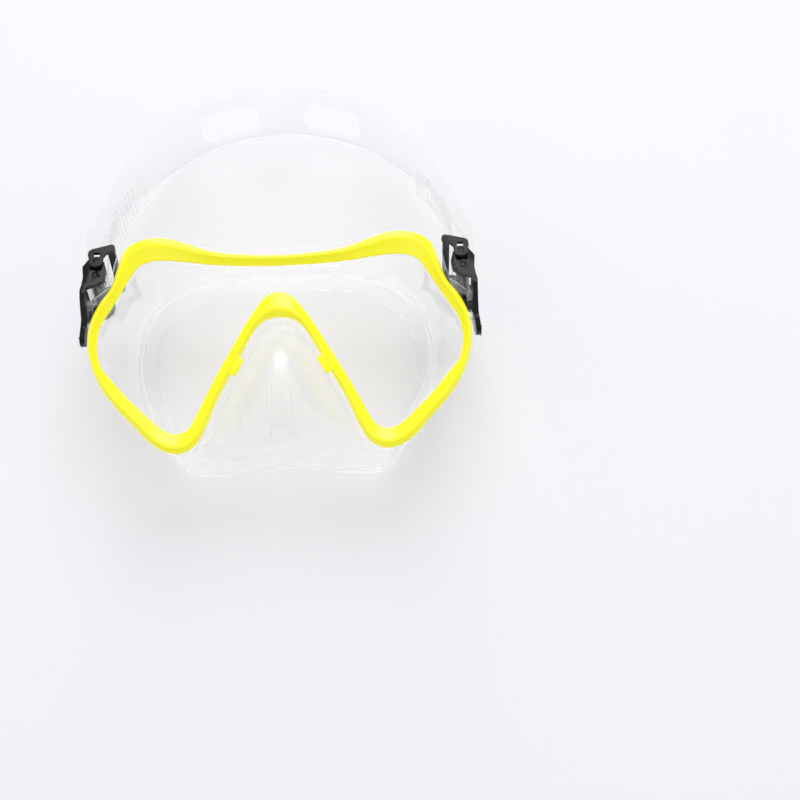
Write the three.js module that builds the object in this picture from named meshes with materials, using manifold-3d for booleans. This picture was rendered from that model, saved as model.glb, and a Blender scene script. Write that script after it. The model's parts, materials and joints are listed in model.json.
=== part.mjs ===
// A single-lens diving mask, lying on the rim of its skirt with the lens up and the strap swung back behind it.
// Millimetres. +Z is up from the table, +Y points to the forehead side, X runs from side to side.
import * as THREE from "three";
import { mergeVertices } from "three/addons/utils/BufferGeometryUtils.js";
import Module from "manifold-3d";

const wasm = await Module();
wasm.setup();

// Driving dimensions
const frameWidth = 162.8; // over the yellow frame
const frameHeight = 92; // from the top corners to the lobes beside the nose
const lensHeight = 58; // middle of the lens front above the table
const lensTilt = 9; // degrees, forehead side up
const lensThickness = 4;
const ridgeHeight = 3.5; // of the yellow frame above the lens
const clampGap = 0.35; // between pieces that bear on each other
const skirtWall = 2.2;
const rimWidth = 132; // over the face rim of the skirt
const noseReach = 24; // how far the nose pocket stands in front of the lens
const strapWidth = 24; // where it runs through the buckles
const strapThickness = 1.6;
const strapBackY = 115; // back of the strap, from the middle of the lens
const strapLobe = 59; // height of the split back at its lobes
const bridgeWidth = 16; // between the two slots of the split back
const rollerRadius = 2.9;
const pinRadius = 1;
const pinGap = 0.15;
const studRadius = 2.8;
const pivotAcross = 14; // pivot above the middle of the lens, along it
const pivotBehind = 12; // pivot behind the lens front
const buckleDroop = 14; // degrees, the strap hangs from the pivots to the table

const half = frameWidth / 2;
const wide = half / 81.4;
const tall = frameHeight / 92;
const rad = THREE.MathUtils.degToRad;
const tilt = rad(lensTilt);
const droop = rad(buckleDroop);

// One row per station round the right half of the frame, from the top middle to the top of the nose notch:
// edge of the lens opening, outer edge of the yellow frame, face rim of the skirt, flare of the clear frame.
const stations = [
  [0, 32, 0, 36.6, 0, 45, 4.8],
  [14, 32.3, 14, 37.2, 13.5, 45.5, 4.4],
  [28, 33.2, 28, 39, 27, 45, 3],
  [40, 34.8, 39, 42.6, 37.5, 43, 1.6],
  [48, 35.6, 49, 45.3, 46, 39.5, 1],
  [54, 35.3, 58.55, 44.3, 53, 35, 2],
  [59, 33.4, 64.74, 40.45, 58, 30, 3],
  [62.5, 29, 67.77, 33.45, 62, 24, 3],
  [66.5, 22.5, 71.11, 24.45, 64.5, 17.5, 2],
  [71.3, 15, 76.6, 17, 65.7, 10.5, 5.2],
  [75.8, 8, 80.3, 9, 66, 3.5, 1.3],
  [77.4, 0, 81.4, 0, 65.7, -3.5, 1],
  [75.9, -9, 79.8, -9, 64.3, -10.5, 1.6],
  [71.3, -15, 76, -18, 62, -17.5, 2],
  [64.5, -23, 69.5, -27, 58.5, -24.5, 2],
  [57, -30.5, 62.2, -34.8, 54.5, -31, 2],
  [50.8, -36, 56.5, -41, 50.5, -37, 1.6],
  [46.3, -38.2, 50.5, -45.2, 46.5, -41.5, 1.2],
  [42.3, -37.9, 43.5, -46.6, 42, -44.5, 1],
  [39.2, -36, 37, -43.4, 37, -46, 0.8],
  [35.7, -30, 32.3, -36, 31.5, -46.8, 0.6],
  [30.7, -20.5, 27.3, -24.6, 25.5, -47, 0.8],
  [24.8, -10, 21.3, -13.8, 20, -47, 1],
  [19.4, -1, 15.9, -4.2, 15.5, -46.6, 1.2],
  [14, 8, 11.2, 4, 11.5, -46, 1.4],
  [9.8, 14, 7.6, 8, 7.6, -45.3, 1.6],
  [5, 19.2, 3.4, 9.9, 3.8, -44.8, 1.6],
  [0, 20.6, 0, 10.2, 0, -44.6, 1.6],
];
const lobeStation = 18;
const notchStation = 20;
const noseWing = stations[notchStation][2];
const stepsPerStation = 2;

// Smooth closed curve through one pair of columns, mirrored to the left half.
function closedCurve(columnX, columnY, extra) {
  const right = stations.map((s, i) => new THREE.Vector3(s[columnX], s[columnY], extra(s, i)));
  const left = right
    .slice(1, -1)
    .reverse()
    .map((p) => new THREE.Vector3(-p.x, p.y, p.z));
  return new THREE.CatmullRomCurve3([...right, ...left], true);
}

const ringSteps = (2 * stations.length - 2) * stepsPerStation;
const noseShare = (i) => THREE.MathUtils.clamp((i - lobeStation) / (notchStation - lobeStation), 0, 1);
const openingCurve = closedCurve(0, 1, (s) => s[6]);
const outerCurve = closedCurve(2, 3, (s, i) => noseShare(i));
const rimCurve = closedCurve(4, 5, () => 0);
const ring = Array.from({ length: ringSteps }, (_, k) => {
  const inner = openingCurve.getPoint(k / ringSteps);
  const outer = outerCurve.getPoint(k / ringSteps);
  const rim = rimCurve.getPoint(k / ringSteps);
  const a = new THREE.Vector2(inner.x * wide, inner.y * tall);
  const b = new THREE.Vector2(outer.x * wide, outer.y * tall);
  return {
    a,
    b,
    out: b.clone().sub(a).normalize(),
    flare: inner.z,
    nose: THREE.MathUtils.clamp(outer.z, 0, 1),
    rim: new THREE.Vector2((rim.x * rimWidth) / 132, rim.y * tall),
  };
});

// Point of a station: share of the way from the opening to the outer edge, then so many mm farther out.
function across(station, share, beyond = 0) {
  return station.a.clone().lerp(station.b, share).addScaledVector(station.out, beyond);
}

// Lens coordinates to the mask's frame.
function onLens(u, v, n) {
  return new THREE.Vector3(
    u,
    v * Math.cos(tilt) - n * Math.sin(tilt),
    lensHeight + v * Math.sin(tilt) + n * Math.cos(tilt),
  );
}

// Closed tube of sections: each section is a closed profile, and the last section joins the first when it loops.
function loft(sections, loops = true) {
  const count = sections[0].length;
  const index = [];
  const last = loops ? sections.length : sections.length - 1;
  for (let i = 0; i < last; i += 1) {
    const next = (i + 1) % sections.length;
    for (let j = 0; j < count; j += 1) {
      const a = i * count + j;
      const b = i * count + ((j + 1) % count);
      const c = next * count + j;
      const d = next * count + ((j + 1) % count);
      index.push(a, b, d, a, d, c);
    }
  }
  if (!loops) {
    const end = (sections.length - 1) * count;
    for (let j = 1; j < count - 1; j += 1) {
      index.push(0, j + 1, j);
      index.push(end, end + j, end + j + 1);
    }
  }
  const geometry = new THREE.BufferGeometry().setFromPoints(sections.flat());
  geometry.setIndex(index);
  return facingOut(geometry);
}

// Turns the faces round when they enclose a negative volume.
function facingOut(geometry) {
  const p = geometry.getAttribute("position");
  const index = geometry.getIndex().array;
  const a = new THREE.Vector3();
  const b = new THREE.Vector3();
  const c = new THREE.Vector3();
  let volume = 0;
  for (let i = 0; i < index.length; i += 3) {
    a.fromBufferAttribute(p, index[i]);
    b.fromBufferAttribute(p, index[i + 1]);
    c.fromBufferAttribute(p, index[i + 2]);
    volume += a.dot(b.cross(c));
  }
  if (volume < 0) {
    for (let i = 0; i < index.length; i += 3) {
      [index[i + 1], index[i + 2]] = [index[i + 2], index[i + 1]];
    }
  }
  return geometry;
}

function solid(geometry) {
  const bare = new THREE.BufferGeometry().setAttribute("position", geometry.getAttribute("position"));
  bare.setIndex(geometry.getIndex());
  const merged = mergeVertices(bare, 1e-3);
  return new wasm.Manifold(
    new wasm.Mesh({
      numProp: 3,
      vertProperties: new Float32Array(merged.getAttribute("position").array),
      triVerts: new Uint32Array(merged.getIndex().array),
    }),
  );
}

function geometryOf(manifold) {
  const mesh = manifold.getMesh();
  const geometry = new THREE.BufferGeometry();
  geometry.setAttribute("position", new THREE.BufferAttribute(mesh.vertProperties, 3));
  geometry.setIndex(new THREE.BufferAttribute(mesh.triVerts, 1));
  return geometry;
}

function joined(first, ...others) {
  return geometryOf(others.reduce((sum, next) => sum.add(solid(next)), solid(first)));
}

function cut(body, ...tools) {
  return geometryOf(tools.reduce((left, next) => left.subtract(solid(next)), solid(body)));
}

function shared(first, second) {
  return geometryOf(solid(first).intersect(solid(second)));
}

function polygon(points) {
  return new THREE.Shape(points.map(([x, y]) => new THREE.Vector2(x, y)));
}

// Plate drawn in XY, between two heights.
function plateZ(shape, low, high, curveSegments = 6) {
  const geometry = new THREE.ExtrudeGeometry(shape, { depth: high - low, bevelEnabled: false, curveSegments });
  return geometry.translate(0, 0, low);
}

// Plate drawn in YZ, between two values of X.
function plateX(shape, low, high, curveSegments = 6) {
  const geometry = new THREE.ExtrudeGeometry(shape, { depth: high - low, bevelEnabled: false, curveSegments });
  const turn = new THREE.Matrix4().makeBasis(
    new THREE.Vector3(0, 1, 0),
    new THREE.Vector3(0, 0, 1),
    new THREE.Vector3(1, 0, 0),
  );
  return geometry.applyMatrix4(turn).translate(low, 0, 0);
}

function rodZ(radius, low, high, x, y, sides = 16) {
  const geometry = new THREE.CylinderGeometry(radius, radius, high - low, sides);
  return geometry.rotateX(Math.PI / 2).translate(x, y, (low + high) / 2);
}

function rodX(radius, low, high, y, z, sides = 24) {
  const geometry = new THREE.CylinderGeometry(radius, radius, high - low, sides);
  return geometry.rotateZ(Math.PI / 2).translate((low + high) / 2, y, z);
}

function block(x0, x1, y0, y1, z0, z1) {
  const geometry = new THREE.BoxGeometry(x1 - x0, y1 - y0, z1 - z0);
  return geometry.translate((x0 + x1) / 2, (y0 + y1) / 2, (z0 + z1) / 2);
}

// Lens, drawn in lens coordinates: its front is at 0.
const lensShare = 0.45;

function lensGlass() {
  const edge = ring.map((station) => across(station, lensShare));
  return plateZ(new THREE.Shape(edge), -lensThickness, 0, 1);
}

// Yellow frame: a ridge round the lens with an inner and an outer slope, and a wall that clips over the clear frame.
const wallShare = 0.78;
const wallBottom = -3;

function yellowFrame() {
  const sections = ring.map((station) =>
    [
      [0, clampGap],
      [0, 1],
      [0.62, ridgeHeight],
      [0.75, ridgeHeight - 0.1],
      [1, 1.2],
      [1, wallBottom],
      [wallShare, wallBottom],
      [wallShare, clampGap],
    ].map(([share, n]) => {
      const p = across(station, share);
      return new THREE.Vector3(p.x, p.y, n);
    }),
  );
  return joined(loft(sections), snapTab(1), snapTab(-1));
}

// Snap tab on the nose side of the yellow frame, one each side.
function snapTab(side) {
  const from = new THREE.Vector2(21.6 * wide, -14.6 * tall);
  const to = new THREE.Vector2(16.2 * wide, -4.9 * tall);
  const along = to.clone().sub(from);
  const tab = new THREE.BoxGeometry(8, 3.6, 2.6);
  tab.rotateZ(along.angle());
  const middle = from.clone().addScaledVector(along, 0.45);
  tab.translate(middle.x - 0.35, middle.y - 0.2, 1.3 + clampGap);
  return side > 0 ? tab : mirrored(tab);
}

// Left-hand copy of a right-hand shape.
function mirrored(geometry) {
  const copy = geometry.index ? geometry.toNonIndexed() : geometry.clone();
  const p = copy.getAttribute("position");
  for (let i = 0; i < p.count; i += 1) p.setX(i, -p.getX(i));
  const bare = mergeVertices(new THREE.BufferGeometry().setAttribute("position", p), 1e-4);
  return facingOut(bare);
}

// Clear frame: round the lens edge, under the wall of the yellow frame, with a lug at each side for the buckle.
const frameBottom = -6.5;
const lugInner = half - 1.2;
const lugOuter = half + 0.6;
const lugRadius = 6.2;
const pivotV = pivotAcross * tall;

function clearFrame() {
  const top = wallBottom - clampGap;
  const sections = ring.map((station) =>
    [
      [0.52, 0, 0],
      [0.72, 0, 0],
      [0.72, 0, top],
      [1, station.flare - 0.4, top],
      [1, station.flare, top - 0.5],
      [1, station.flare, frameBottom],
      [0.52, 0, frameBottom],
    ].map(([share, beyond, n]) => {
      const p = across(station, share, beyond);
      return new THREE.Vector3(p.x, p.y, n);
    }),
  );
  const body = joined(loft(sections), lug(), mirrored(lug()));
  return cut(body, lugWindow(), mirrored(lugWindow()), lugHole(), mirrored(lugHole()));
}

function lug() {
  const shape = new THREE.Shape();
  shape.moveTo(pivotV - lugRadius, wallBottom - 1.6);
  shape.lineTo(pivotV - lugRadius, -pivotBehind);
  shape.absarc(pivotV, -pivotBehind, lugRadius, Math.PI, 2 * Math.PI, false);
  shape.lineTo(pivotV + lugRadius, wallBottom - 1.6);
  return plateX(shape, lugInner, lugOuter, 8);
}

function lugWindow() {
  const points = [
    [half - 5.2, 19.4],
    [half - 1.6, 18.4],
    [half - 1.6, 12.6],
    [half - 2.2, 12.6],
  ];
  return plateZ(polygon(points.map(([x, y]) => [x, y * tall])), frameBottom - 1, 1);
}

function lugHole() {
  return rodX(studRadius + 0.2, lugInner - 1, lugOuter + 1, pivotV, -pivotBehind);
}

// Middle of the skirt's wall at one station, from the lens to the inward lip, as rows of points.
function wallRows(station) {
  const g = across(station, 0.1);
  const k = station.rim;
  const at = (share, z) => new THREE.Vector3(k.x * share, k.y * share, z);
  const seat = onLens(g.x, g.y, -7.4);
  const waist = at(0.975, lensHeight * 0.66);
  return [
    onLens(g.x, g.y, -lensThickness - clampGap),
    seat,
    seat.clone().lerp(waist, 0.5),
    waist,
    at(0.965, lensHeight * 0.52),
    at(0.97, lensHeight * 0.38),
    at(0.985, lensHeight * 0.23),
    at(1, 6.5 + rimRise(k)),
  ];
}

// The nose pocket: the wall runs out under the frame, up and forward over the nose, and back down to the lip.
function noseRows(station) {
  const g = across(station, 0.1);
  const q = Math.abs(station.b.x) / (noseWing * wide);
  const tip = new THREE.Vector3(
    station.b.x * (0.78 + 0.14 * q * q),
    (-31 - 9 * q * q) * tall,
    noseReach - (noseReach + 1) * q * q,
  );
  const under = across(station, 1, 2.2);
  const way = new THREE.Vector2(tip.x, tip.y).sub(station.b);
  const flank = station.b.clone().addScaledVector(way.clone().normalize(), Math.min(4.2, way.length()));
  return [
    onLens(g.x, g.y, -lensThickness - clampGap),
    onLens(g.x, g.y, -8.2),
    onLens(under.x, under.y, -9.4),
    onLens(flank.x, flank.y, -4.6),
    onLens((flank.x + tip.x) / 2, (flank.y + tip.y) / 2, tip.z * 0.55 + 0.5),
    onLens(tip.x, tip.y, tip.z),
    onLens(tip.x * 1.03, (-42.5 - 1.5 * q) * tall, tip.z * 0.7 - 2),
    onLens(tip.x * 1.06, (-46 - q) * tall, tip.z * 0.25 - 12),
  ];
}

// The rim stands off the table over the forehead and under the nose, as a face needs.
function rimRise(k) {
  const reach = k.y > 0 ? 44 : 34;
  return 4 * Math.max(0, 1 - (k.x / reach) ** 2);
}

function skirt() {
  const count = ring.length;
  const rows = ring.map((station, i) => {
    const wall = wallRows(station);
    const nose = noseRows(station);
    const line = wall.map((p, j) => p.clone().lerp(nose[j], station.nose));
    const before = ring[(i + count - 1) % count].rim;
    const after = ring[(i + 1) % count].rim;
    const inward = new THREE.Vector2(before.y - after.y, after.x - before.x).normalize().negate();
    const k = station.rim;
    const rise = rimRise(k);
    const lip = (mm, z) => new THREE.Vector3(k.x + inward.x * mm, k.y + inward.y * mm, z + rise);
    return [...line, lip(0, skirtWall / 2), lip(3.5, skirtWall / 2), lip(8, skirtWall / 2 + 1.6)];
  });
  const rowCount = rows[0].length;
  const rimRows = [rowCount - 3, rowCount - 2];
  const sections = rows.map((line, i) => {
    const before = rows[(i + count - 1) % count];
    const after = rows[(i + 1) % count];
    const faces = [[], []];
    line.forEach((p, j) => {
      const around = after[j].clone().sub(before[j]);
      const down = line[Math.min(j + 1, rowCount - 1)].clone().sub(line[Math.max(j - 1, 0)]);
      const normal = around.cross(down).normalize();
      const depth = j === rowCount - 1 ? skirtWall * 0.3 : skirtWall / 2;
      const front = p.clone().addScaledVector(normal, depth);
      const back = p.clone().addScaledVector(normal, -depth);
      if (rimRows.includes(j)) {
        const lower = front.z < back.z ? front : back;
        lower.z = p.z - skirtWall / 2;
      }
      faces[0].push(front);
      faces[1].push(back);
    });
    return [...faces[0], ...faces[1].reverse()];
  });
  return loft(sections);
}

// Buckle dimensions, in the buckle's own frame: the pivot is the origin, +Y runs along it to the strap.
const plateInner = lugOuter + 0.3;
const plateOuter = plateInner + 2.2;
const plateRound = 6;
const plateReach = 13.6; // from the pivot to the free end of the plate
const capRadius = 4.2;
const capDepth = 0.9;
const rollerX = half - 2.9;
const rollerY = 12.5;
const leverPinX = rollerX - 0.5;
const leverPinY = rollerY + rollerRadius + 2.6;
const cheekInner = strapWidth / 2 + 0.6;
const cheekOuter = cheekInner + 2.2;
const earInner = cheekOuter + 0.3;
const earOuter = earInner + 1.9;
const wrapRadius = rollerRadius + clampGap + strapThickness / 2;
const wrapOuter = wrapRadius + strapThickness / 2;
const plateEnd = rollerY - wrapOuter - 0.65; // the plate stops short of the strap
const railX = rollerX - wrapOuter - 0.45; // outer face of the lever's rail, beside the strap's tail

// The plate seen from its edge: flat at the pivot, bowed inward at the strap end and outward at the free end.
function plateBow() {
  const bow = [
    [12, -1.3],
    [8, -0.7],
    [5, 0],
    [-5, 0],
    [-8, 0.3],
    [-11, 0.7],
    [-plateReach, 1.2],
  ];
  const outer = bow.map(([y, x]) => [plateOuter + x, y]);
  const inner = bow.map(([y, x]) => [plateInner + x * 1.1, y]);
  return polygon([...outer, ...inner.reverse()]);
}

function buckleBody() {
  const w = cheekOuter;
  const r = plateRound;
  const end = r - plateReach;
  const outline = new THREE.Shape();
  outline.moveTo(plateEnd, -w);
  outline.lineTo(plateEnd, w);
  outline.lineTo(4.5, w);
  outline.bezierCurveTo(-1, w, -3, r + 1, end, r);
  outline.absarc(end, 0, r, Math.PI / 2, 1.5 * Math.PI, false);
  outline.bezierCurveTo(-3, -r - 1, -1, -w, 4.5, -w);
  outline.lineTo(plateEnd, -w);
  const x = rollerX;
  const cheek = polygon([
    [plateOuter - 0.2, 4.5],
    [plateOuter - 1.1, 11],
    [x + 5.3, leverPinY - 1.5],
    [x + 2.6, leverPinY + 2.4],
    [x - 1.4, leverPinY + 3],
    [x - 4, leverPinY + 0.5],
    [x - 5, rollerY + 1.5],
    [x - 4.4, 10],
    [x - 1.6, 7.6],
    [x + 3, 6.4],
  ]);
  const plate = shared(plateX(outline, plateInner - 4, plateOuter + 4), plateZ(plateBow(), -w, w));
  const body = joined(
    plate,
    plateZ(cheek, cheekInner, cheekOuter),
    plateZ(cheek, -cheekOuter, -cheekInner),
  );
  return cut(
    body,
    rodX(studRadius + 0.15, plateInner - 1, plateOuter + 1, 0, 0),
    rodX(capRadius + clampGap, plateOuter - capDepth - 0.2, plateOuter + 1, 0, 0),
    rodZ(pinRadius + pinGap, -cheekOuter - 1, cheekOuter + 1, rollerX, rollerY),
    rodZ(pinRadius + pinGap, -cheekOuter - 1, cheekOuter + 1, leverPinX, leverPinY),
  );
}

// Headed stud: its foot sits behind the lug, its shank runs through the lug and the buckle's plate.
function pivotPin() {
  const top = plateOuter - capDepth - 0.2;
  const profile = [
    [0, lugInner - 2.6],
    [4.6, lugInner - 2.6],
    [4.8, lugInner - 2],
    [4.8, lugInner - 0.4],
    [studRadius, lugInner - 0.4],
    [studRadius, top],
    [0, top],
  ].map(([r, x]) => new THREE.Vector2(r, x));
  const geometry = new THREE.LatheGeometry(profile, 24);
  return geometry.rotateZ(-Math.PI / 2);
}

// Cap over the stud, let into the outer face of the plate.
function pivotCap() {
  const profile = [
    [0, plateOuter - capDepth + 0.1],
    [capRadius, plateOuter - capDepth + 0.1],
    [capRadius, plateOuter],
    [capRadius - 0.6, plateOuter + 0.3],
    [0, plateOuter + 0.5],
  ].map(([r, x]) => new THREE.Vector2(r, x));
  const geometry = new THREE.LatheGeometry(profile, 24);
  return geometry.rotateZ(-Math.PI / 2);
}

function roller() {
  const teeth = 12;
  const outline = Array.from({ length: 2 * teeth }, (_, i) => {
    const r = i % 2 ? rollerRadius - 0.35 : rollerRadius;
    const angle = (i * Math.PI) / teeth;
    return [r * Math.cos(angle), r * Math.sin(angle)];
  });
  const shape = polygon(outline);
  shape.holes.push(new THREE.Path().absarc(0, 0, pinRadius + pinGap, 0, 2 * Math.PI, true));
  const reach = cheekInner - 0.3;
  return plateZ(shape, -reach, reach, 8).translate(rollerX, rollerY, 0);
}

// Release lever: two ears outside the cheeks, each a neck with a slanted bar on it, and a rail behind the strap's tail.
function lockLever() {
  const x = leverPinX;
  const y = leverPinY;
  const ear = polygon([
    [x + 2.9, y - 1],
    [x + 2.9, y + 1.6],
    [x + 3.4, y + 2.8],
    [x + 3, y + 5],
    [x + 1.6, y + 5.9],
    [railX - 1.8, y + 8],
    [railX - 3, y + 7.6],
    [railX - 3.4, y + 6],
    [railX - 2.8, y + 4.8],
    [x - 4.4, y + 3.8],
    [x - 3.2, y + 2.2],
    [x - 2.9, y - 1],
    [x - 2, y - 2.3],
    [x, y - 2.9],
    [x + 2, y - 2.3],
  ]);
  const window = polygon([
    [x - 1.7, y + 2],
    [x + 1, y + 2],
    [x + 1, y + 4],
    [x - 1.7, y + 4],
  ]);
  const rail = block(railX - 2.9, railX, y + 4.8, y + 7.4, -earInner - 0.5, earInner + 0.5);
  const body = joined(plateZ(ear, earInner, earOuter), plateZ(ear, -earOuter, -earInner), rail);
  return cut(
    body,
    rodZ(pinRadius + pinGap, -earOuter - 1, earOuter + 1, leverPinX, leverPinY),
    plateZ(window, earInner - 1, earOuter + 1),
    plateZ(window, -earOuter - 1, -earInner + 1),
  );
}

// Torsion spring round the lever's pin.
function leverSpring() {
  const turns = 3;
  const radius = pinRadius + 0.85;
  const length = 6;
  const points = Array.from({ length: turns * 10 + 1 }, (_, i) => {
    const angle = (i * 2 * Math.PI) / 10;
    const z = -length / 2 + (length * i) / (turns * 10);
    return new THREE.Vector3(leverPinX + radius * Math.cos(angle), leverPinY + radius * Math.sin(angle), z);
  });
  const wire = new THREE.Shape().absarc(0, 0, 0.32, 0, 2 * Math.PI, false);
  return new THREE.ExtrudeGeometry(wire, {
    steps: turns * 10,
    extrudePath: new THREE.CatmullRomCurve3(points),
    curveSegments: 3,
    bevelEnabled: false,
  });
}

// Pivot of the buckles and the strap in the mask's frame.
const pivot = onLens(0, pivotV, -pivotBehind);

// Point of the buckle's frame in the mask's frame.
function onBuckle(x, y) {
  return new THREE.Vector3(x, pivot.y + y * Math.cos(droop), pivot.z - y * Math.sin(droop));
}

// Right half of the strap as stations from the end of its tail to the middle of the back:
// middle of the band, its width, and how far the band leans, in radians.
function strapStations() {
  const list = [];
  const add = (p, width, lean) => list.push({ p, width, lean });
  const inner = rollerX - wrapRadius;
  const outer = rollerX + wrapRadius;
  const tail = new THREE.CatmullRomCurve3(
    [
      [inner - 14, 65],
      [inner - 8, 56],
      [inner - 3.6, 47],
      [inner - 0.9, 38],
      [inner, 30],
    ].map(([x, y]) => new THREE.Vector3(x, y, 0)),
  );
  for (let i = 0; i < 10; i += 1) {
    const p = tail.getPoint(i / 9);
    add(onBuckle(p.x, p.y), strapWidth - 1.5, droop);
  }
  for (let i = 0; i <= 8; i += 1) {
    const angle = Math.PI + (i * Math.PI) / 8;
    const x = rollerX + wrapRadius * Math.cos(angle);
    const y = rollerY + wrapRadius * Math.sin(angle);
    add(onBuckle(x, y), strapWidth, droop);
  }
  add(onBuckle(outer, 22), strapWidth, droop);
  add(onBuckle(outer, 36), strapWidth, droop);
  const reach = strapBackY - onBuckle(0, 36).y;
  const start = onBuckle(outer, 36);
  // share of the reach, share of the half width, height of the middle, width of the band, lean
  const back = [
    [0, 1, start.z, strapWidth, 1],
    [0.17, 0.93, start.z * 0.915, strapWidth + 1, 1],
    [0.34, 0.868, start.z * 0.84, strapWidth + 4, 0.8],
    [0.52, 0.785, start.z * 0.78, strapLobe * 0.62, 0.45],
    [0.7, 0.65, strapLobe * 0.48, strapLobe * 0.88, 0.15],
    [0.86, 0.468, strapLobe / 2, strapLobe, 0],
    [0.965, 0.24, strapLobe * 0.475, strapLobe * 0.95, 0],
    [1, 0, strapLobe * 0.44, strapLobe * 0.88, 0],
  ];
  const middle = new THREE.CatmullRomCurve3([
    ...back.map(([y, x, z]) => new THREE.Vector3(x * outer, start.y + y * reach, z)),
    new THREE.Vector3(-back[6][1] * outer, start.y + back[6][0] * reach, back[6][2]),
  ]);
  const size = new THREE.CatmullRomCurve3([
    ...back.map(([, , , width, lean]) => new THREE.Vector3(width, lean, 0)),
    new THREE.Vector3(back[6][3], back[6][4], 0),
  ]);
  const steps = 28;
  for (let i = 1; i <= steps; i += 1) {
    const t = (i / steps) * (7 / 8);
    const p = middle.getPoint(t);
    const s = size.getPoint(t);
    const floor = s.x / 2;
    add(new THREE.Vector3(p.x, p.y, Math.max(p.z, floor)), s.x, droop * Math.max(0, s.y));
  }
  return list;
}

function wholeStrap() {
  const right = strapStations();
  const left = right
    .slice(0, -1)
    .reverse()
    .map((s) => ({ ...s, p: new THREE.Vector3(-s.p.x, s.p.y, s.p.z) }));
  return [...right, ...left];
}

// Band swept along the strap's stations, part of its width and so thick.
function band(list, low, high, thickness) {
  const sections = list.map((s, i) => {
    const before = list[Math.max(i - 1, 0)].p;
    const after = list[Math.min(i + 1, list.length - 1)].p;
    const up = new THREE.Vector3(0, Math.sin(s.lean), Math.cos(s.lean));
    const along = after.clone().sub(before);
    const side = along.cross(up).normalize().multiplyScalar(thickness / 2);
    const low3 = s.p.clone().addScaledVector(up, low(s));
    const high3 = s.p.clone().addScaledVector(up, high(s));
    return [low3.clone().sub(side), high3.clone().sub(side), high3.clone().add(side), low3.clone().add(side)];
  });
  return loft(sections, false);
}

function strap() {
  const list = wholeStrap();
  const body = band(
    list,
    (s) => -s.width / 2,
    (s) => s.width / 2,
    strapThickness,
  );
  const inSlot = list.filter((s) => {
    const x = Math.abs(s.p.x);
    return s.p.y > strapBackY - 20 * tall && x > bridgeWidth / 2 && x < bridgeWidth / 2 + 29 * wide;
  });
  const slot = (side) =>
    band(
      inSlot.filter((s) => s.p.x * side > 0),
      (s) => -s.width / 2 + strapLobe * 0.2,
      (s) => s.width / 2 - strapLobe * 0.27,
      strapThickness * 4,
    );
  return cut(body, slot(1), slot(-1));
}

const yellowPlastic = new THREE.MeshStandardMaterial({ color: 0xfff200, roughness: 0.35, metalness: 0 });
const clearPlastic = new THREE.MeshStandardMaterial({
  color: 0xe8eef2,
  roughness: 0.15,
  metalness: 0,
  transparent: true,
  opacity: 0.45,
});
const glass = new THREE.MeshStandardMaterial({
  color: 0xeaf4f4,
  roughness: 0.05,
  metalness: 0,
  transparent: true,
  opacity: 0.25,
});
const silicone = new THREE.MeshStandardMaterial({
  color: 0xf2f4f6,
  roughness: 0.3,
  metalness: 0,
  transparent: true,
  opacity: 0.5,
});
const blackPlastic = new THREE.MeshStandardMaterial({ color: 0x141416, roughness: 0.25, metalness: 0 });
const greyPlastic = new THREE.MeshStandardMaterial({ color: 0x3a3b3e, roughness: 0.55, metalness: 0 });
const steel = new THREE.MeshStandardMaterial({ color: 0xb8bcc0, roughness: 0.3, metalness: 1 });

function named(name, geometry, material) {
  const mesh = new THREE.Mesh(geometry, material);
  mesh.name = name;
  return mesh;
}

function maskFront() {
  const group = new THREE.Group();
  group.add(named("lens", lensGlass(), glass));
  group.add(named("outer_frame", yellowFrame(), yellowPlastic));
  group.add(named("inner_frame", clearFrame(), clearPlastic));
  group.rotation.x = tilt;
  group.position.z = lensHeight;
  return group;
}

function buckle(side) {
  const group = new THREE.Group();
  group.add(named(side + "_buckle_body", buckleBody(), blackPlastic));
  group.add(named(side + "_pivot_pin", pivotPin(), blackPlastic));
  group.add(named(side + "_pivot_cap", pivotCap(), greyPlastic));
  group.add(named(side + "_roller", roller(), greyPlastic));
  const axle = rodZ(pinRadius, -cheekOuter + 0.2, cheekOuter - 0.2, rollerX, rollerY);
  group.add(named(side + "_roller_axle", axle, steel));
  group.add(named(side + "_lock_lever", lockLever(), blackPlastic));
  const pin = rodZ(pinRadius, -earOuter + 0.2, earOuter - 0.2, leverPinX, leverPinY);
  group.add(named(side + "_lever_pin", pin, steel));
  group.add(named(side + "_lever_spring", leverSpring(), steel));
  group.position.copy(pivot);
  group.rotation.x = -droop;
  if (side === "left") group.scale.x = -1;
  return group;
}

const mask = new THREE.Group();
mask.add(maskFront());
mask.add(named("skirt", skirt(), silicone));
mask.add(named("strap", strap(), silicone));
mask.add(buckle("right"));
mask.add(buckle("left"));

// The origin is on the table under the middle of the whole thing.
mask.updateMatrixWorld(true);
const box = new THREE.Box3().setFromObject(mask, true);
const centre = box.getCenter(new THREE.Vector3());
mask.position.set(-centre.x, -centre.y, -box.min.z);

export default mask;
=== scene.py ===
# Clear-skirted snorkel mask with a lemon yellow frame. It lies on a white table with its strap behind it.
import json
import math

import bmesh
import bpy
from mathutils import Matrix, Vector
from mathutils.bvhtree import BVHTree


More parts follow.
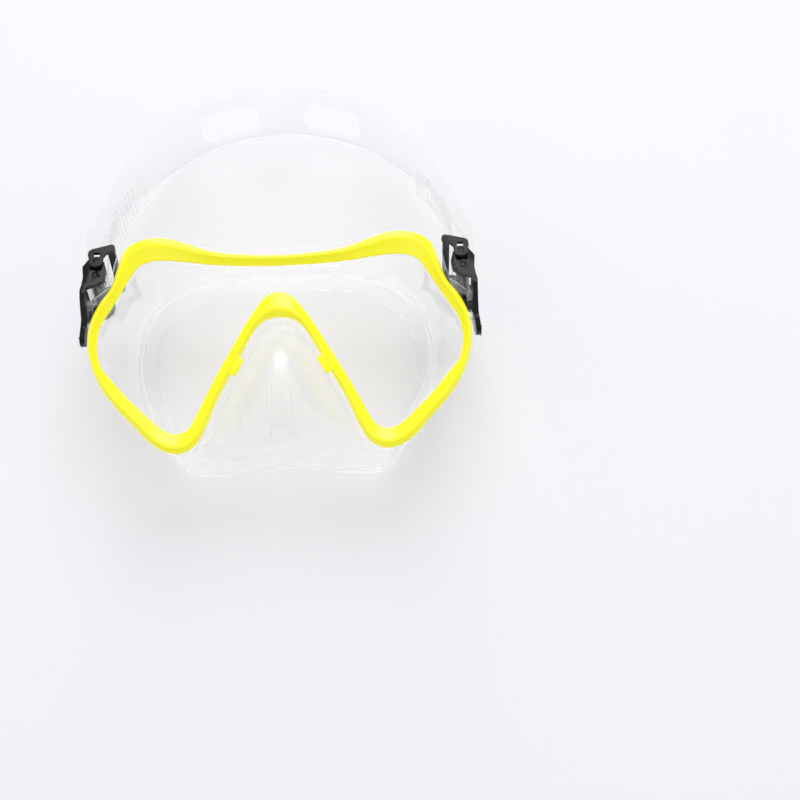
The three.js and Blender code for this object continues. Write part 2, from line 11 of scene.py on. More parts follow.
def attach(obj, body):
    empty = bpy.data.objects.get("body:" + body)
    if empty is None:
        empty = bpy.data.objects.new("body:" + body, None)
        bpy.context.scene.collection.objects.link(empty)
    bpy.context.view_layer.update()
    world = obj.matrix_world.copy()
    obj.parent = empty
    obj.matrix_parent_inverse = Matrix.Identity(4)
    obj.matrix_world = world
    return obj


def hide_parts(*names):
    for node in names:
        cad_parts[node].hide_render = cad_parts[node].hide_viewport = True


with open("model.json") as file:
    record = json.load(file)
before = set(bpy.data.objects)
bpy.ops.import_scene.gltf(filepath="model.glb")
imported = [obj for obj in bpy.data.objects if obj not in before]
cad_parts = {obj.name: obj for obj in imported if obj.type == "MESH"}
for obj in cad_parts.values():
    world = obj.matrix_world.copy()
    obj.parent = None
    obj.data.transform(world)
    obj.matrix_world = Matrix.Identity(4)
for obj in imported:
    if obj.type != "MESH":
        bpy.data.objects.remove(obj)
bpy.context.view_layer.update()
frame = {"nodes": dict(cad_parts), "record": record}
scene = bpy.context.scene
mm = 0.001
sides = {"right": 1, "left": -1}
joints = {joint["name"]: joint for joint in frame["record"]["behaviour"]["joints"]}
pivot = Vector(joints["right_buckle_swing"]["pos_m"])
lensTilt = math.radians(9)
droop = math.radians(14)  # of the buckles and the strap, down to the table
lensFromPivot = 15.7048  # in mm, towards the chin
lensHeight = 58  # in mm, middle of its front over the table
lensMiddle = Vector((0, pivot.y - lensFromPivot * mm, lensHeight * mm))


def linear(hexText):
    channels = [int(hexText[i:i + 2], 16) / 255 for i in (1, 3, 5)]
    return (*[c / 12.92 if c <= 0.04045 else ((c + 0.055) / 1.055) ** 2.4 for c in channels], 1)


def addNode(tree, kind, settings=None, links=None):
    node = tree.nodes.new(kind)
    for name, value in (settings or {}).items():
        setattr(node, name, value)
    for name, value in (links or {}).items():
        if isinstance(value, bpy.types.NodeSocket):
            tree.links.new(value, node.inputs[name])
        else:
            node.inputs[name].default_value = value
    return node


detail = {
    "patchDetail": 4.0, "patchRoughness": 0.55, "patchLow": 0.3, "patchHigh": 0.7,
    "grainDetail": 2.0, "bumpStrength": 0.5, "clearFrom": 0.1,
}


# Every material: a principled surface, with fine grain in its bump and patchy gloss in its roughness.
# A clear one lets more through where it is seen face on than along its edges.
def surface(name, look, colour, roughness, grainMm, bumpMm, patchMm, clear=None, frosted=None, **shader):
    material = bpy.data.materials.new(name)
    material.use_nodes = True
    tree = material.node_tree
    tree.nodes.clear()
    place = addNode(tree, "ShaderNodeTexCoord").outputs["Object"]
    patches = addNode(tree, "ShaderNodeTexNoise", links={
        "Vector": place, "Scale": 1 / (patchMm * mm), "Detail": detail["patchDetail"],
        "Roughness": detail["patchRoughness"]})
    gloss = addNode(tree, "ShaderNodeMapRange", links={
        "Value": patches.outputs["Fac"], "From Min": detail["patchLow"], "From Max": detail["patchHigh"],
        "To Min": roughness[0], "To Max": roughness[1]}).outputs["Result"]
    tint = addNode(tree, "ShaderNodeMix", {"data_type": "RGBA"}, {"Factor": patches.outputs["Fac"]})
    tint.inputs[6].default_value = linear(colour[0])
    tint.inputs[7].default_value = linear(colour[1])
    grain = addNode(tree, "ShaderNodeTexNoise", links={
        "Vector": place, "Scale": 1 / (grainMm * mm), "Detail": detail["grainDetail"]})
    bump = addNode(tree, "ShaderNodeBump", links={
        "Height": grain.outputs["Fac"], "Distance": bumpMm * mm, "Strength": detail["bumpStrength"]})
    if frosted:
        height = addNode(tree, "ShaderNodeSeparateXYZ", links={"Vector": place})
        lip = addNode(tree, "ShaderNodeMapRange", {"interpolation_type": "SMOOTHSTEP"}, {
            "Value": height.outputs["Z"], "From Min": frosted["top"] * mm,
            "From Max": (frosted["top"] - frosted["fade"]) * mm, "To Min": 0.0, "To Max": frosted["more"]})
        gloss = addNode(tree, "ShaderNodeMath", {"operation": "ADD"}, {0: gloss, 1: lip.outputs["Result"]})
        gloss = gloss.outputs["Value"]
    shade = addNode(tree, "ShaderNodeBsdfPrincipled", links={
        "Base Color": tint.outputs[2], "Roughness": gloss, "Normal": bump.outputs["Normal"], **shader})
    if clear:
        edge = addNode(tree, "ShaderNodeLayerWeight", links={"Blend": clear["blend"]})
        solid = addNode(tree, "ShaderNodeMapRange", links={
            "Value": edge.outputs["Facing"], "From Min": detail["clearFrom"], "From Max": 1.0,
            "To Min": clear["faceOn"], "To Max": clear["edgeOn"]})
        tree.links.new(solid.outputs["Result"], shade.inputs["Alpha"])
    addNode(tree, "ShaderNodeOutputMaterial", links={"Surface": shade.outputs["BSDF"]})
    material.diffuse_color = linear(look)
    return material


# Moulded ABS in a fluorescent lemon: satin, so broad soft highlights bleach the colour
# where it faces the light.
# Its faint emission is a painted glow that lifts its shaded sides, standing in for the fluorescence.
lemonAbs = surface("lemonMouldedAbs", "#FFF400", ("#FFFC00", "#FFF700"), (0.24, 0.34), 0.5, 0.006, 18,
                   **{"IOR": 1.53, "Coat Weight": 0.4, "Coat Roughness": 0.18,
                      "Emission Color": linear("#FFF600"), "Emission Strength": 0.14})
# Polished polycarbonate: clear as glass, with bright and dark lines at every edge.
# The faint emission of this and of the silicone is a painted glow that lifts them out of their own shadow,
# standing in for light scattered inside them.
clearPolycarbonate = surface("clearPolishedPolycarbonate", "#E8EEF2", ("#F8FAFC", "#F2F6F8"), (0.04, 0.1),
                             0.8, 0.004, 14, clear={"blend": 0.35, "faceOn": 0.12, "edgeOn": 0.72},
                             **{"IOR": 1.58, "Transmission Weight": 1.0,
                                "Emission Color": linear("#FCFCFF"), "Emission Strength": 0.06})
# Tempered flat glass: no grain to speak of, a trace of green-grey in its depth.
temperedGlass = surface("temperedFlatGlass", "#E6F0F0", ("#F8FBFB", "#F3F8F8"), (0.0, 0.02), 3.0,
                        0.0005, 40, clear={"blend": 0.3, "faceOn": 0.04, "edgeOn": 0.5},
                        **{"IOR": 1.5, "Transmission Weight": 1.0})
# Liquid silicone, moulded in a polished tool: clear, soft-edged highlights, slightly milky where it is thick,
# and sandblasted matt along the lip that seals on the face. Its faint emission is a painted glow that lifts
# it out of its own shadow.
clearSilicone = surface("clearMouldedSilicone", "#EEF1F5", ("#FAFBFD", "#F2F4F8"), (0.12, 0.24), 0.7,
                        0.01, 12, clear={"blend": 0.4, "faceOn": 0.08, "edgeOn": 0.55},
                        frosted={"top": 9, "fade": 3, "more": 0.3},
                        **{"IOR": 1.41, "Transmission Weight": 0.75,
                           "Emission Color": linear("#FCFCFF"), "Emission Strength": 0.08})
# The same silicone in a thin band: almost invisible face on, a fine grey line along each edge.
strapSilicone = surface("clearStrapSilicone", "#EEF1F5", ("#FCFCFE", "#F6F7FA"), (0.14, 0.24), 0.7,
                        0.008, 16, clear={"blend": 0.4, "faceOn": 0.03, "edgeOn": 0.34},
                        **{"IOR": 1.41, "Transmission Weight": 0.75})
# Acetal, moulded glossy black: tight highlights and a little orange peel.
blackAcetal = surface("blackMouldedAcetal", "#0C0D0F", ("#050506", "#0A0A0B"), (0.14, 0.26), 0.6,
                      0.01, 9, **{"IOR": 1.48, "Specular IOR Level": 0.25,
                                  "Coat Weight": 0.05, "Coat Roughness": 0.1})
# Glass-filled nylon: charcoal, satin, with a faint speckle.
charcoalNylon = surface("charcoalFilledNylon", "#2B2C30", ("#151619", "#202126"), (0.38, 0.55), 0.35,
                        0.02, 5, **{"IOR": 1.53, "Specular IOR Level": 0.35})
# Drawn stainless wire and rod, blackened: dark, with a metal's narrow highlight.
blackenedSteel = surface("blackenedDrawnSteel", "#2A2B2E", ("#26272A", "#3A3B3E"), (0.22, 0.38), 0.25,
                         0.006, 4, **{"Metallic": 1.0})
print("materials made")


def meshPiece(name, bm):
    mesh = bpy.data.meshes.new(name)
    bm.to_mesh(mesh)
    bm.free()
    piece = bpy.data.objects.new(name, mesh)
    scene.collection.objects.link(piece)
    return piece


copying = {"merge": 0.002, "flatWithin": 30, "squareWithin": 60}


# A merged copy of a CAD node, with its triangles joined to quads again.
def workingCopy(nodeName, pieceName):
    bm = bmesh.new()
    bm.from_mesh(frame["nodes"][nodeName].data)
    bmesh.ops.remove_doubles(bm, verts=bm.verts, dist=copying["merge"] * mm)
    bmesh.ops.join_triangles(bm, faces=bm.faces, angle_face_threshold=math.radians(copying["flatWithin"]),
                             angle_shape_threshold=math.radians(copying["squareWithin"]))
    bmesh.ops.recalc_face_normals(bm, faces=bm.faces)
    return meshPiece(pieceName, bm)


def addModifier(piece, kind, **settings):
    modifier = piece.modifiers.new(kind.lower(), kind)
    for name, value in settings.items():
        setattr(modifier, name, value)
    return modifier


def bevel(piece, widthMm, segments, fromAngle):
    addModifier(piece, "BEVEL", width=widthMm * mm, segments=segments, limit_method="ANGLE",
                angle_limit=math.radians(fromAngle))


def subdivide(piece, levels):
    addModifier(piece, "SUBSURF", levels=levels, render_levels=levels)


# Applies the modifiers by taking the evaluated mesh.
def applied(piece):
    evaluated = piece.evaluated_get(bpy.context.evaluated_depsgraph_get())
    mesh = bpy.data.meshes.new_from_object(evaluated)
    piece.modifiers.clear()
    piece.data = mesh
    return piece


def finishPiece(piece, material, body, slotName, *nodes, sharpAngle=40):
    piece.data.materials.clear()
    piece.data.materials.append(material)
    piece.data.shade_smooth()
    piece.data.set_sharp_from_angle(angle=math.radians(sharpAngle))
    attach(piece, body)
    if nodes:
        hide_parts(*nodes)
    return piece


# Point on a smooth curve through the given points, which spaces itself by the roots of their distances.
def smoothPoint(points, share, closed):
    count = len(points)
    along = (count if closed else count - 1) * share
    start = min(int(along), count - 1 if closed else count - 2)
    part = along - start
    p1, p2 = points[start], points[(start + 1) % count]
    p0 = points[start - 1] if closed or start > 0 else p1 * 2 - p2
    p3 = points[(start + 2) % count] if closed or start + 2 < count else p2 * 2 - p1
    gaps = [max((b - a).length, 1e-8) ** 0.5 for a, b in ((p0, p1), (p1, p2), (p2, p3))]
    leave = ((p1 - p0) / gaps[0] - (p2 - p0) / (gaps[0] + gaps[1]) + (p2 - p1) / gaps[1]) * gaps[1]
    reach = ((p2 - p1) / gaps[1] - (p3 - p1) / (gaps[1] + gaps[2]) + (p3 - p2) / gaps[2]) * gaps[1]
    return (p1 + leave * part + (p2 * 3 - p1 * 3 - leave * 2 - reach) * part ** 2
            + (p1 * 2 - p2 * 2 + leave + reach) * part ** 3)


# Closed skin over sections of points; a run that doesn't close on itself gets a face at each end.
def skin(sections, closed):
    bm = bmesh.new()
    rings = [[bm.verts.new(p) for p in section] for section in sections]
    size = len(rings[0])
    pairs = list(zip(rings, rings[1:])) + ([(rings[-1], rings[0])] if closed else [])
    for before, after in pairs:
        for k in range(size):
            bm.faces.new((before[k], before[(k + 1) % size], after[(k + 1) % size], after[k]))
    if not closed:
        bm.faces.new(rings[0])
        bm.faces.new(rings[-1][::-1])
    bmesh.ops.recalc_face_normals(bm, faces=bm.faces)
    return bm


# Lens coordinates, in mm from the middle of its front, to the mask's frame.
def onLens(u, v, n):
    return lensMiddle + Vector((
        u,
        v * math.cos(lensTilt) - n * math.sin(lensTilt),
        v * math.sin(lensTilt) + n * math.cos(lensTilt))) * mm


# A buckle's own coordinates, in mm: outward, from its pivot towards the strap, and along its pins.
def onBuckle(x, y, z=0.0):
    return Vector((x * mm, pivot.y + (y * math.cos(droop) + z * math.sin(droop)) * mm,
                   pivot.z + (z * math.cos(droop) - y * math.sin(droop)) * mm))


# The yellow ring, right half from the top middle to the notch over the nose, in mm in the plane of the lens:
# edge of the opening, outer edge, and the flare of the clear frame, which shares the spacing of the rows.
ringRows = [
    (0, 32, 0, 36.6, 4.8), (14, 32.3, 14, 37.2, 4.4), (28, 33.2, 28, 39, 3), (40, 34.8, 39, 42.6, 1.6),
    (48, 35.6, 49, 45.3, 1), (54, 35.3, 58.55, 44.3, 2), (59, 33.4, 64.74, 40.45, 3),
    (62.5, 29, 67.77, 33.45, 3), (66.5, 22.5, 71.11, 24.45, 2), (71.3, 15, 76.6, 17, 5.2),
    (75.8, 8, 80.3, 9, 1.3), (77.4, 0, 81.4, 0, 1), (75.9, -9, 79.8, -9, 1.6), (71.3, -15, 76, -18, 2),
    (64.5, -23, 69.5, -27, 2), (57, -30.5, 62.2, -34.8, 2),
    (50.8, -36, 56.5, -41, 1.6), (46.3, -38.2, 50.5, -45.2, 1.2), (42.3, -37.9, 43.5, -46.6, 1),
    (39.2, -36, 37, -43.4, 0.8), (35.7, -30, 32.3, -36, 0.6), (30.7, -20.5, 27.3, -24.6, 0.8),
    (24.8, -10, 21.3, -13.8, 1), (19.4, -1, 15.9, -4.2, 1.2), (14, 8, 11.2, 4, 1.4), (9.8, 14, 7.6, 8, 1.6),
    (5, 19.2, 3.4, 9.9, 1.6), (0, 20.6, 0, 10.2, 1.6),
]
lemonFrame = {
    "steps": 4,  # sections for each row of the ring
    # share of the way from the opening to the outer edge, and height over the lens
    "profile": [(0, 0.35), (0, 0.95), (0.05, 1.25), (0.12, 1.4), (0.52, 3.05), (0.6, 3.42), (0.67, 3.5),
                (0.75, 3.4), (0.82, 2.9), (0.96, 1.55), (1, 1.2), (1, -3), (0.78, -3), (0.78, 0.35)],
    "edgeRound": 0.22, "roundFrom": 26,
}


def ringPoints(first, last):
    right = [Vector((row[first], row[last], row[4] if first == 0 else 0)) for row in ringRows]
    left = [Vector((-p.x, p.y, p.z)) for p in right[-2:0:-1]]
    points = right + left
    count = len(points) * lemonFrame["steps"]
    return [smoothPoint(points, k / count, True) for k in range(count)]


def makeLemonFrame():
    sections = [[onLens(a.x + (b.x - a.x) * share, a.y + (b.y - a.y) * share, n)
                 for share, n in lemonFrame["profile"]]
                for a, b in zip(ringPoints(0, 1), ringPoints(2, 3))]
    piece = meshPiece("lemonFrame", skin(sections, True))
    bevel(piece, lemonFrame["edgeRound"], 2, lemonFrame["roundFrom"])
    finishPiece(applied(piece), lemonAbs, "mask", "yellow_frame", "outer_frame", sharpAngle=50)


snapTabs = {
    "low": (21.6, -14.6), "high": (16.2, -4.9),  # along the right leg's edge beside the nose
    "along": 0.45, "aside": (-0.35, -0.2), "middleHeight": 1.65,
    "length": 8, "width": 3.6, "height": 2.6, "edgeRound": 0.5, "roundFrom": 30,
}


# A rounded tab on each leg of the notch, where the ring snaps over the clear frame.
def makeSnapTabs():
    bm = bmesh.new()
    for side in sides.values():
        low, high = (Vector((snapTabs[end][0] * side, snapTabs[end][1], 0)) for end in ("low", "high"))
        run = high - low
        aside = Vector((snapTabs["aside"][0] * side, snapTabs["aside"][1], snapTabs["middleHeight"]))
        middle = low + run * snapTabs["along"] + aside
        made = bmesh.ops.create_cube(bm, size=1)["verts"]
        turn = Matrix.Rotation(math.atan2(run.y, run.x), 4, "Z")
        for vert in made:
            size = Vector((vert.co.x * snapTabs["length"], vert.co.y * snapTabs["width"],
                           vert.co.z * snapTabs["height"]))
            vert.co = onLens(*(middle + turn @ size))
    piece = meshPiece("snapTabs", bm)
    bevel(piece, snapTabs["edgeRound"], 3, snapTabs["roundFrom"])
    finishPiece(applied(piece), lemonAbs, "mask", "yellow_frame")


clearFrame = {"edgeRound": 0.35, "roundFrom": 24}
lensPane = {"edgeRound": 0.4, "roundFrom": 50}


def makeClearFrame():
    piece = workingCopy("inner_frame", "clearFrame")
    bevel(piece, clearFrame["edgeRound"], 2, clearFrame["roundFrom"])
    finishPiece(applied(piece), clearPolycarbonate, "mask", "clear_frame", "inner_frame")


def makeLensPane():
    piece = workingCopy("lens", "lensPane")
    bevel(piece, lensPane["edgeRound"], 3, lensPane["roundFrom"])
    finishPiece(applied(piece), temperedGlass, "mask", "lens_glass", "lens")


noseRibs = {
    "apart": 7.6, "width": 2.3, "rise": 0.75, "sink": 0.3, "from": -17, "to": -41,
    "sections": 26, "sides": 14, "taperPower": 0.35, "leastTaper": 0.02, "castFrom": 60,
}


# The skirt, and the two grip ribs down the front of its nose pocket.
def makeSkirt():
    piece = workingCopy("skirt", "softSkirt")
    subdivide(piece, 2)
    applied(piece)
    wall = BVHTree.FromPolygons([v.co for v in piece.data.vertices],
                                [list(f.vertices) for f in piece.data.polygons])
    finishPiece(piece, clearSilicone, "mask", "clear_silicone", "skirt", sharpAngle=70)
    into = onLens(0, 0, -1) - onLens(0, 0, 0)
    across = Vector((1, 0, 0))
    ribs = bmesh.new()
    for side in sides.values():
        sections = []
        for k in range(noseRibs["sections"] + 1):
            share = k / noseRibs["sections"]
            v = noseRibs["from"] + (noseRibs["to"] - noseRibs["from"]) * share
            outside = onLens(side * noseRibs["apart"] / 2, v, noseRibs["castFrom"])
            hit, normal, _, _ = wall.ray_cast(outside, into)
            if hit is None:
                continue
            if normal.dot(into) > 0:
                normal = -normal
            taper = max(math.sin(math.pi * share), noseRibs["leastTaper"]) ** noseRibs["taperPower"]
            rise, wide = noseRibs["rise"] * taper * mm, noseRibs["width"] / 2 * taper * mm
            sink = noseRibs["sink"] * mm
            turns = [2 * math.pi * j / noseRibs["sides"] for j in range(noseRibs["sides"])]
            sections.append([hit + across * math.cos(turn) * wide
                             + normal * (math.sin(turn) * (rise if math.sin(turn) > 0 else sink))
                             for turn in turns])
        made = skin(sections, False)
        mesh = bpy.data.meshes.new("rib")
        made.to_mesh(mesh)
        made.free()
        ribs.from_mesh(mesh)
        bpy.data.meshes.remove(mesh)
    finishPiece(meshPiece("noseRibs", ribs), clearSilicone, "mask", "clear_silicone", sharpAngle=60)


strapBand = {
    "width": 24, "thickness": 1.6, "border": 2.2, "recess": 0.3, "edge": 0.35,
    "rollerAcross": 78.5, "rollerAlong": 12.5, "wrap": 4.05, "backY": 115, "lobe": 59,
    "borderSlope": 0.5, "tailNarrower": 1.5, "tailSteps": 18, "wrapSteps": 16, "backSteps": 72,
    "straight": (22, 29), "bendAt": 36, "bendShares": (0.2, 0.4, 0.6, 0.8), "bendTakes": 3,
    "slotFrom": 8, "slotTo": 37, "slotLow": 0.2, "slotHigh": 0.27, "slotRound": 4,
    "slotBeyond": 60, "cutReach": 3,
    "toothPitch": 2.4, "toothRadius": 0.42, "toothedTail": (2, 18),
    # from the free end of the tail, in the buckle's coordinates: outward from the tail's line, and along
    "tail": [(-14, 65), (-8, 56), (-3.6, 47), (-0.9, 38), (0, 30)],
    # share of the reach, share of the half width, height of the middle, width of the band, lean
    "back": [(0, 1, 39.6287, 24, 1), (0.17, 0.93, 36.2603, 25, 1), (0.34, 0.868, 33.2881, 28, 0.8),
             (0.52, 0.785, 30.9104, 36.58, 0.45), (0.7, 0.65, 28.32, 51.92, 0.15), (0.86, 0.468, 29.5, 59, 0),
             (0.965, 0.24, 28.025, 56.05, 0), (1, 0, 25.96, 51.92, 0)],
}


# Right half of the strap from the end of its tail to the middle of the back: place, width and lean.
# A rounded bend leads from the straight run by the buckle into the back.
def strapStations():
    made = []
    inner = strapBand["rollerAcross"] - strapBand["wrap"]
    outer = strapBand["rollerAcross"] + strapBand["wrap"]
    tail = [Vector((inner + x, y, 0)) for x, y in strapBand["tail"]]
    for k in range(strapBand["tailSteps"] + 1):
        p = smoothPoint(tail, k / strapBand["tailSteps"], False)
        made.append((onBuckle(p.x, p.y), strapBand["width"] - strapBand["tailNarrower"], droop))
    for k in range(strapBand["wrapSteps"] + 1):
        turn = math.pi * (1 + k / strapBand["wrapSteps"])
        made.append((onBuckle(strapBand["rollerAcross"] + strapBand["wrap"] * math.cos(turn),
                              strapBand["rollerAlong"] + strapBand["wrap"] * math.sin(turn)),
                     strapBand["width"], droop))
    for y in strapBand["straight"]:
        made.append((onBuckle(outer, y), strapBand["width"], droop))
    straight = len(made)
    start = onBuckle(outer, strapBand["bendAt"]) / mm
    reach = strapBand["backY"] + lensMiddle.y / mm - start.y
    beforeMiddle = strapBand["back"][-2]
    rows = strapBand["back"] + [(beforeMiddle[0], -beforeMiddle[1], *beforeMiddle[2:])]
    middle = [Vector((x * outer, start.y + y * reach, z)) for y, x, z, _, _ in rows]
    size = [Vector((width, lean, 0)) for _, _, _, width, lean in rows]
    toMiddle = (len(rows) - 2) / (len(rows) - 1)
    for k in range(1, strapBand["backSteps"] + 1):
        share = k / strapBand["backSteps"] * toMiddle
        p, s = smoothPoint(middle, share, False), smoothPoint(size, share, False)
        made.append((Vector((p.x, p.y, max(p.z, s.x / 2))) * mm, s.x, droop * max(0, s.y)))
    taken = strapBand["bendTakes"]  # stations of the back that the bend stands for
    before, after = made[straight - 1], made[straight + taken]
    bend = []
    for t in strapBand["bendShares"]:
        bend.append((before[0] * (1 - t) ** 2 + start * mm * 2 * t * (1 - t) + after[0] * t ** 2,
                     before[1] + (after[1] - before[1]) * t, before[2] + (after[2] - before[2]) * t))
    made[straight:straight + taken] = bend
    return made


# Section of the band: raised borders on its outer face, and rounded edges.
def bandSection(width):
    half, thick, edge = width / 2, strapBand["thickness"] / 2, strapBand["edge"]
    border, recess, slope = strapBand["border"], strapBand["recess"], strapBand["borderSlope"]
    return [(-half, -thick + edge), (-half + edge, -thick), (half - edge, -thick), (half, -thick + edge),
            (half, thick - edge), (half - edge, thick), (half - border, thick),
            (half - border - slope, thick - recess), (-half + border + slope, thick - recess),
            (-half + border, thick), (-half + edge, thick), (-half, thick - edge)]


# The strap is one rigid band here. It rides on the left buckle, which the right one follows.
def makeStrap():
    right = strapStations()
    whole = right + [(Vector((-p.x, p.y, p.z)), width, lean) for p, width, lean in right[-2::-1]]
    sections, faces = [], []
    for k, (p, width, lean) in enumerate(whole):
        up = Vector((0, math.sin(lean), math.cos(lean)))
        along = whole[min(k + 1, len(whole) - 1)][0] - whole[max(k - 1, 0)][0]
        out = along.cross(up).normalized()
        faces.append((p, width, up, out))
        sections.append([p + up * s * mm + out * t * mm for s, t in bandSection(width)])
    piece = meshPiece("headStrap", skin(sections, False))
    for side in sides.values():
        cutSlot(piece, [f for f in faces if strapBand["slotFrom"] < f[0].x * side / mm < strapBand["slotTo"]
                        and f[0].y > pivot.y + strapBand["slotBeyond"] * mm])
    finishPiece(piece, strapSilicone, "left_buckle", "strap_silicone", "strap", sharpAngle=35)
    runs = []
    for side in sides.values():
        tail = right[slice(*strapBand["toothedTail"])]
        run = []
        for k, (p, _, lean) in enumerate(tail[1:-1], 1):
            along = tail[k + 1][0] - tail[k - 1][0]
            out = along.cross(Vector((0, math.sin(lean), math.cos(lean)))).normalized()
            face = p - out * strapBand["thickness"] / 2 * mm
            run.append(Vector((face.x * side, face.y, face.z)))
        runs.append(run)
    teeth = ridges("strapTeeth", runs, strapBand["toothPitch"], strapBand["toothRadius"],
                   strapBand["width"] - strapBand["tailNarrower"] - 2 * strapBand["border"], strapSilicone)
    finishPiece(teeth, strapSilicone, "left_buckle", "strap_silicone")


# Slot between the two bands of the split back, with round corners, cut through the thickness.
def cutSlot(piece, faces):
    rounding = strapBand["slotRound"] * mm
    reach = strapBand["cutReach"]
    sections = []
    length = [0.0]
    for before, after in zip(faces, faces[1:]):
        length.append(length[-1] + (after[0] - before[0]).length)
    for (p, width, up, out), gone in zip(faces, length):
        fromEnd = min(gone, length[-1] - gone)
        pinch = 0.0
        if fromEnd < rounding:
            pinch = rounding - math.sqrt(max(rounding ** 2 - (rounding - fromEnd) ** 2, 0))
        low = (-width / 2 + strapBand["lobe"] * strapBand["slotLow"]) * mm + pinch
        high = (width / 2 - strapBand["lobe"] * strapBand["slotHigh"]) * mm - pinch
        sections.append([p + up * s + out * t * reach * mm
                         for s, t in ((low, -1), (high, -1), (high, 1), (low, 1))])
    tool = meshPiece("slotTool", skin(sections, False))
    addModifier(piece, "BOOLEAN", operation="DIFFERENCE", object=tool, solver="EXACT")
    applied(piece)
    bpy.data.objects.remove(tool)


ridgeSides = 10


# Round ridges across a run of points, one for each pitch, half sunk in the face below them:
# the teeth of the strap and the grips of the arms.
def ridgeTree():
    tree = bpy.data.node_groups.new("ridgesAlongRun", "GeometryNodeTree")
    for name, kind in (("Run", "NodeSocketGeometry"), ("Pitch", "NodeSocketFloat"),
                       ("Radius", "NodeSocketFloat"), ("Length", "NodeSocketFloat"),
                       ("Lean", "NodeSocketFloat"), ("Finish", "NodeSocketMaterial")):
        tree.interface.new_socket(name=name, in_out="INPUT", socket_type=kind)
    tree.interface.new_socket(name="Ridges", in_out="OUTPUT", socket_type="NodeSocketGeometry")
    given = addNode(tree, "NodeGroupInput").outputs
    line = addNode(tree, "GeometryNodeMeshToCurve", links={"Mesh": given["Run"]})
    places = addNode(tree, "GeometryNodeCurveToPoints", {"mode": "LENGTH"}, {
        "Curve": line.outputs["Curve"], "Length": given["Pitch"]})
    ridge = addNode(tree, "GeometryNodeMeshCylinder", links={
        "Vertices": ridgeSides, "Radius": given["Radius"], "Depth": given["Length"]})
    lean = addNode(tree, "ShaderNodeCombineXYZ", links={"X": given["Lean"]})
    leant = addNode(tree, "FunctionNodeEulerToRotation", links={"Euler": lean.outputs["Vector"]})
    turned = addNode(tree, "FunctionNodeAlignRotationToVector", {"axis": "X", "pivot_axis": "Z"}, {
        "Rotation": leant.outputs["Rotation"], "Vector": places.outputs["Tangent"]})
    ridgesMade = addNode(tree, "GeometryNodeInstanceOnPoints", links={
        "Points": places.outputs["Points"], "Instance": ridge.outputs["Mesh"],
        "Rotation": turned.outputs["Rotation"]})
    real = addNode(tree, "GeometryNodeRealizeInstances", links={"Geometry": ridgesMade.outputs["Instances"]})
    coated = addNode(tree, "GeometryNodeSetMaterial", links={
        "Geometry": real.outputs["Geometry"], "Material": given["Finish"]})
    addNode(tree, "NodeGroupOutput", links={"Ridges": coated.outputs["Geometry"]})
    return tree


def ridges(name, runs, pitchMm, radiusMm, lengthMm, material):
    bm = bmesh.new()
    for run in runs:
        verts = [bm.verts.new(p) for p in run]
        for before, after in zip(verts, verts[1:]):
            bm.edges.new((before, after))
    piece = meshPiece(name, bm)
    tree = bpy.data.node_groups.get("ridgesAlongRun") or ridgeTree()
    modifier = addModifier(piece, "NODES", node_group=tree)
    sockets = {item.name: item.identifier for item in tree.interface.items_tree if item.in_out == "INPUT"}
    for label, value in (("Pitch", pitchMm * mm), ("Radius", radiusMm * mm), ("Length", lengthMm * mm),
                         ("Lean", -droop), ("Finish", material)):
        modifier[sockets[label]] = value
    return applied(piece)


# Each CAD part of a buckle: name, name of its piece, material, body, slot and edge rounding in mm.
buckleParts = [
    ("buckle_body", "BuckleBody", blackAcetal, "_buckle", "black_plastic", 0.45),
    ("lock_lever", "LockLever", charcoalNylon, "_lever", "black_plastic", 0.4),
    ("pivot_pin", "PivotPin", blackAcetal, "_buckle", "black_plastic", 0.3),
    ("pivot_cap", "PivotCap", charcoalNylon, "_buckle", "grey_plastic", 0.25),
    ("roller", "Roller", charcoalNylon, "_roller_spin", "grey_plastic", 0.15),
    ("roller_axle", "RollerAxle", blackenedSteel, "_buckle", "steel", 0.15),
    ("lever_pin", "LeverPin", blackenedSteel, "_buckle", "steel", 0.15),
]
armGrips = {
    "run": [(85.43, -12.2), (85.16, -10.7), (84.96, -9.2), (84.77, -7.7)],  # outer face of the arm's end
    "pitch": 1.35, "radius": 0.32, "length": 8,
}


def makeBuckles():
    for side, sign in sides.items():
        for node, name, material, body, slotName, edge in buckleParts:
            piece = workingCopy(side + "_" + node, side + name)
            bevel(piece, edge, 3, 32)
            finishPiece(applied(piece), material, side + body, slotName, side + "_" + node, sharpAngle=35)
        spring = workingCopy(side + "_lever_spring", side + "LeverSpring")
        subdivide(spring, 1)
        finishPiece(applied(spring), blackenedSteel, side + "_buckle", "steel", side + "_lever_spring")
        run = [onBuckle(x, y) for x, y in armGrips["run"]]
        run = [Vector((p.x * sign, p.y, p.z)) for p in run]
        grips = ridges(side + "ArmGrips", [run], armGrips["pitch"], armGrips["radius"], armGrips["length"],
                       blackAcetal)
        finishPiece(grips, blackAcetal, side + "_buckle", "black_plastic")


makeLemonFrame()
makeSnapTabs()
makeClearFrame()
makeLensPane()
makeSkirt()
makeStrap()
makeBuckles()
print("pieces made")

# Where the camera stands: a long lens well above the mask, on its chin side.
viewpoint = {
    "elevation": 76, "roll": 1.75, "focalLength": 90, "sensor": 36,
    "distance": 0.846, "aimRight": 0.0508, "aimDown": 0.025, "nearest": 0.01, "farthest": 20,
}


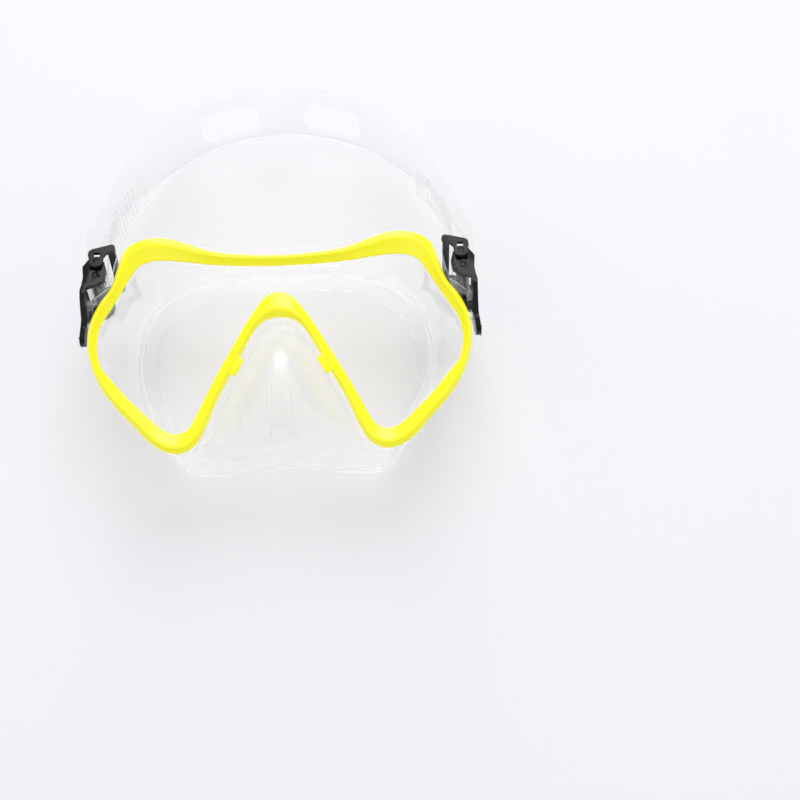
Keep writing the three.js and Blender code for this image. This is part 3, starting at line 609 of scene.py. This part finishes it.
def placeCamera():
    camera = bpy.data.objects.new("camera", bpy.data.cameras.new("camera"))
    scene.collection.objects.link(camera)
    scene.camera = camera
    camera.data.lens = viewpoint["focalLength"]
    camera.data.sensor_width = viewpoint["sensor"]
    camera.data.clip_start = viewpoint["nearest"]
    camera.data.clip_end = viewpoint["farthest"]
    raised = math.radians(viewpoint["elevation"])
    turned = math.radians(viewpoint["roll"])
    forward = Vector((0, math.cos(raised), -math.sin(raised)))
    level = Vector((1, 0, 0))
    upright = Vector((0, math.sin(raised), math.cos(raised)))
    right = level * math.cos(turned) - upright * math.sin(turned)
    up = level * math.sin(turned) + upright * math.cos(turned)
    place = (lensMiddle - forward * viewpoint["distance"] + right * viewpoint["aimRight"]
             - up * viewpoint["aimDown"])
    camera.matrix_world = Matrix((
        (right.x, up.x, -forward.x, place.x),
        (right.y, up.y, -forward.y, place.y),
        (right.z, up.z, -forward.z, place.z),
        (0, 0, 0, 1)))


studio = {
    "dome": 0.72, "horizon": 0.36, "fullRise": 0.6, "tint": "#FBFBFF",
    # name, side in metres, power in watts, place in metres
    "softboxes": [("backSoftbox", 1.6, 26.0, (0.3, 1.6, 2.2)), ("frontSoftbox", 1.8, 3.5, (-0.8, -1.6, 2.4)),
                  ("lowSoftbox", 1.2, 12.0, (0.0, 2.4, 0.7))],
}
tableHalf = 3  # in metres, half the side of the table


# A white dome that darkens towards the horizon, two softboxes behind the mask, one of them low,
# and a weak one in front.
def lightStudio():
    world = bpy.data.worlds.new("studioDome")
    scene.world = world
    world.use_nodes = True
    tree = world.node_tree
    tree.nodes.clear()
    direction = addNode(tree, "ShaderNodeTexCoord").outputs["Generated"]
    parts = addNode(tree, "ShaderNodeSeparateXYZ", links={"Vector": direction})
    rise = addNode(tree, "ShaderNodeMapRange", links={
        "Value": parts.outputs["Z"], "From Min": 0.0, "From Max": studio["fullRise"],
        "To Min": studio["horizon"], "To Max": studio["dome"]})
    sky = addNode(tree, "ShaderNodeBackground", links={
        "Color": linear(studio["tint"]), "Strength": rise.outputs["Result"]})
    addNode(tree, "ShaderNodeOutputWorld", links={"Surface": sky.outputs["Background"]})
    for name, size, energy, place in studio["softboxes"]:
        data = bpy.data.lights.new(name, "AREA")
        data.shape = "SQUARE"
        data.size = size
        data.energy = energy
        lamp = bpy.data.objects.new(name, data)
        scene.collection.objects.link(lamp)
        lamp.location = place
        lamp.rotation_euler = (-Vector(place)).to_track_quat("-Z", "Y").to_euler()


def layTable():
    bm = bmesh.new()
    bmesh.ops.create_grid(bm, x_segments=2, y_segments=2, size=tableHalf)
    table = meshPiece("table", bm)
    laminate = surface("whiteMattLaminate", "#F8F7FA", ("#FAF9FC", "#F7F6F9"), (0.55, 0.65), 1.5,
                       0.01, 200, **{"IOR": 1.45})
    table.data.materials.append(laminate)


placeCamera()
lightStudio()
layTable()
scene.view_settings.view_transform = "Standard"
scene.cycles.transparent_max_bounces = 32
print("camera, lights and table placed")
